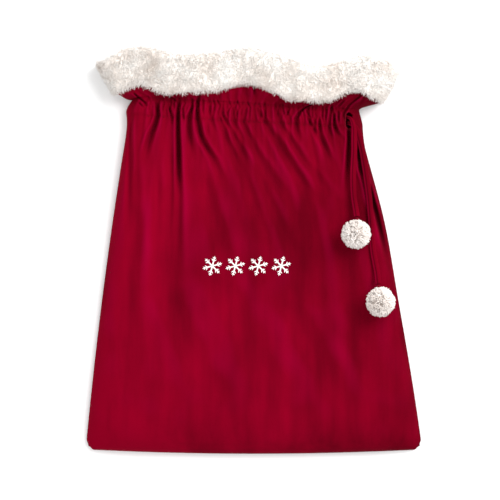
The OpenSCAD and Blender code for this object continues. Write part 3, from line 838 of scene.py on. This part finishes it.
# ---- Seams inside the sack
# The panels are joined by overlocked seams that stay inside the sack: a narrow allowance of the cloth, with
# thread looped over its cut edge every few millimetres.
def overlock(name, node, f, k, inward):
    """A strip along a seam with its loops of thread. inward is the direction across it, off the seam."""
    x, y = sack_xy(f, k)
    at = np.arange(len(x)) * 0.7
    strip_points = np.stack([
        np.stack([x + inward[0] * d, y + inward[1] * d, 0.0045 + 0.0003 * np.sin(at + 300 * d)], -1)
        for d in np.linspace(0.0064, 0.0148, 5)
    ])
    faces = grid_faces(5, len(x))
    first, across = strip_points[0, 1] - strip_points[0, 0], strip_points[1, 0] - strip_points[0, 0]
    if np.cross(first, across)[2] < 0:
        faces = [face[::-1] for face in faces]
    cloth_part = mesh_piece(name, strip_points, faces, VELVET)
    thickened(cloth_part, 0.0016, 0.0)
    bpy.context.view_layer.objects.active = cloth_part
    bpy.ops.object.modifier_apply(modifier=cloth_part.modifiers[0].name)
    roots = strip_points[2]
    rng = np.random.default_rng(5)
    way = np.array([inward[0], inward[1], 0.0]) + np.array([inward[1], -inward[0], 0]) * 0.35
    ways, lengths = np.tile(way, (len(roots), 1)), np.full(len(roots), 0.0044)
    points, loops, _ = strands(roots + (0, 0, 0.0009), ways, lengths, 0.0003, rng, curl=0.04)
    thread_part = mesh_piece(name + "_loops", points, loops, THREAD)
    piece = joined(name, [cloth_part, thread_part])
    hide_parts(node)
    return gathers(piece)


along = np.linspace(0.05, 0.885, 190)
overlock("left_seam_overlock", "left_side_seam", np.zeros(190), along, (1, 0))
overlock("right_seam_overlock", "right_side_seam", np.ones(190), along, (-1, 0))
overlock("bottom_seam_overlock", "bottom_seam", np.linspace(0.03, 0.97, 190), np.zeros(190), (0, 1))


# ---- Stitches and the buttonhole
# Two rows of small running stitches close the casing, sunk in the pile. The buttonhole is worked in satin
# stitch round its slot, with a bar tack across each end.
def stitch_row(name, thickness, starts, ends, sag=0.0004):
    """Stitches that enter the velvet at both ends: one short thread, copied between each two points."""
    bpy.ops.object.select_all(action="DESELECT")
    bpy.ops.mesh.primitive_cylinder_add(vertices=8, radius=0.5, depth=1)
    model = bpy.context.object
    bpy.ops.object.mode_set(mode="EDIT")
    for level in (0.3, 0, -0.3):
        bpy.ops.mesh.select_all(action="SELECT")
        bpy.ops.mesh.bisect(plane_co=(0, 0, level), plane_no=(0, 0, 1))
    bpy.ops.object.mode_set(mode="OBJECT")
    unit = np.array([v.co for v in model.data.vertices])
    model_faces = [list(p.vertices) for p in model.data.polygons]
    bpy.data.objects.remove(model)
    points, faces = [], []
    for start, end in zip(starts, ends):
        along = end - start
        length = np.linalg.norm(along)
        along = along / length
        across = np.cross(along, (0, 0, 1))
        across /= np.linalg.norm(across)
        up = np.cross(across, along)
        arch = (0.25 - unit[:, 2:] ** 2) * 4
        narrow = 1 - 0.35 * (np.abs(unit[:, 2:]) > 0.4)
        placed = (start + end) / 2 + along * unit[:, 2:] * length + across * unit[:, :1] * thickness * narrow
        placed = placed + up * (unit[:, 1:2] * thickness * narrow + arch * sag - 0.3 * sag)
        faces += [[i + len(points) * len(unit) for i in face] for face in model_faces]
        points.append(placed)
    return mesh_piece(name, np.vstack(points), faces, THREAD)


def casing_rows(name, node, high, last):
    starts, ends = [], []
    for k in (neck_k + 0.006, 0.994):
        for f in np.arange(0.085, last, 0.0215):
            x, y = sack_xy(np.array([f, f + 0.0098]), np.full(2, k))
            z = high(x, y)
            starts.append(np.array([x[0], y[0], z[0]]))
            ends.append(np.array([x[1], y[1], z[1]]))
    piece = stitch_row(name, 0.0008, starts, ends)
    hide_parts(node)
    gathers(piece)


casing_rows("front_stitches", "front_casing_stitches", lambda x, y: front_height(x, y, 0.0003), 0.885)
casing_rows("back_stitches", "back_casing_stitches", lambda x, y: np.full(len(x), 0.0106), 0.85)



def round_slot(radius):
    """Points round the buttonhole at a distance from its middle line: its round ends, then its two sides."""
    turn = np.linspace(0, 2 * math.pi, 96, endpoint=False)
    ends = np.stack([radius * np.cos(turn), radius * np.sin(turn) + 0.0082 * np.sign(np.sin(turn))], 1)
    sides = np.array([(side * radius, up) for side in (-1, 1) for up in np.linspace(-0.0075, 0.0075, 22)])
    points = np.vstack([ends, sides]) + exit_at
    return [np.array([*p, front_height(p[:1], p[1:], 0.0001)[0]]) for p in points]


inner, outer = round_slot(slot_r), round_slot(slot_r + 0.003)
buttonhole = stitch_row("buttonhole_stitches", 0.0007, inner, outer, sag=0.0006)
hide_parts("exit_buttonhole")
gathers(buttonhole)
starts, ends = [], []
for side in (-1, 1):
    for n in range(9):
        x = exit_at[0] - 0.0042 + 0.00105 * n
        y = exit_at[1] + side * 0.0181
        for value, to in ((y - 0.0009, starts), (y + 0.0009, ends)):
            to.append(np.array([x, value, front_height(np.array([x]), np.array([value]), 0.0003)[0]]))
tacks = stitch_row("bar_tacks", 0.0009, starts, ends, sag=0.0005)
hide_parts("exit_bar_tacks")
gathers(tacks)


# ---- Embroidery
# A row of four plain snowflakes in white satin stitch, each arm a band of close threads laid across it, on a
# non-woven backing inside the front.
silk = Finish("white_thread", Roughness=0.4, Specular_IOR_Level=0.4, Sheen_Weight=0.1)
WHITE = silk.surface(
    silk.mixed(silk.noise(500), paint(232, 226, 222), paint(255, 252, 250)), silk.noise(2500), distance=0.0002
)
felt = Finish("backing_felt", Roughness=0.9)
BACKING = felt.surface(
    felt.mixed(felt.noise(800, detail=4), paint(214, 212, 210), paint(240, 239, 238)),
    felt.noise(1500, detail=4), distance=0.0003,
)
motif_at, motif_w, flake_d, flakes = np.array([-0.013, -0.027]), 0.160, 0.036, 4


def satin_bar(start, end, width, pitch=0.00052):
    """The two ends of each thread laid side by side across a bar."""
    along = end - start
    length = np.linalg.norm(along)
    along = along / length
    slant = np.array([-along[1], along[0]]) + 0.25 * along
    middles = [start + along * d for d in np.arange(0, length, pitch)]
    taper = [width * min(1.0, 0.45 + 1.2 * (1 - n / len(middles))) for n in range(len(middles))]
    return [(m - slant * w / 2, m + slant * w / 2) for m, w in zip(middles, taper)]


pairs = []
arm = flake_d / 2
for number in range(flakes):
    centre = motif_at + (-motif_w / 2 + arm + number * (motif_w - flake_d) / (flakes - 1), 0)
    for turn in range(6):
        angle = math.radians(60 * turn + 15)
        way = np.array([math.cos(angle), math.sin(angle)])
        pairs += satin_bar(centre + way * 0.001, centre + way * arm, 0.0027)
        for share, branch in ((0.5, 0.0056), (0.76, 0.0034)):
            for side in (-1, 1):
                lean = angle + side * math.radians(50)
                tip = centre + way * arm * share + branch * np.array([math.cos(lean), math.sin(lean)])
                pairs += satin_bar(centre + way * arm * share, tip, 0.0021)
ends = np.array(pairs)
heights = front_height(ends[..., 0].ravel(), ends[..., 1].ravel(), 0.0003).reshape(ends.shape[:2])
starts = [np.array([*pair[0], z[0]]) for pair, z in zip(ends, heights)]
stops = [np.array([*pair[1], z[1]]) for pair, z in zip(ends, heights)]
snowflakes = stitch_row("snowflake_threads", 0.00062, starts, stops, sag=0.0008)
snowflakes.data.materials.clear()
snowflakes.data.materials.append(WHITE)
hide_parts("snowflake_embroidery")
gathers(snowflakes)
x, y = np.meshgrid(np.linspace(-0.09, 0.09, 50) + motif_at[0], np.linspace(-0.026, 0.026, 16) + motif_at[1])
z = front_height(x.ravel(), y.ravel(), -0.0022).reshape(x.shape)
points = np.stack([x, y, z], -1)
backing = mesh_piece("embroidery_backing_felt", points, grid_faces(*x.shape), BACKING)
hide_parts("embroidery_backing")
gathers(thickened(backing, 0.0006))


# ---- Floor and light
# The sack lies on a plain white ground, under broad soft light that comes mostly from beyond its right
# shoulder and a little from the other side.
FLOOR = Finish("pale_floor", Roughness=0.9, Specular_IOR_Level=0.0).surface((0.9, 0.9, 0.9, 1))
bpy.ops.object.select_all(action="DESELECT")
bpy.ops.mesh.primitive_plane_add(size=12, location=(0, 0, -0.0005))
floor = bpy.context.object
floor.name = "floor"
floor.data.materials.append(FLOOR)
floor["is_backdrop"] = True
world = bpy.data.worlds.new("studio")
world.use_nodes = True
world.node_tree.nodes["Background"].inputs["Color"].default_value = (1, 1, 1, 1)
world.node_tree.nodes["Background"].inputs["Strength"].default_value = 0.85
scene.world = world
for name, place, size, power in (
    ("key light", (1.5, 1.3, 2.0), 1.8, 85), ("fill light", (-1.0, -1.2, 2.6), 2.0, 18),
):
    lamp = bpy.data.lights.new(name, "AREA")
    lamp.size, lamp.energy = size, power
    holder = bpy.data.objects.new(name, lamp)
    holder.location = place
    holder.rotation_euler = (Vector((0, 0, 0)) - Vector(place)).to_track_quat("-Z", "Y").to_euler()
    scene.collection.objects.link(holder)

bpy.context.view_layer.update()
low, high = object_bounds()
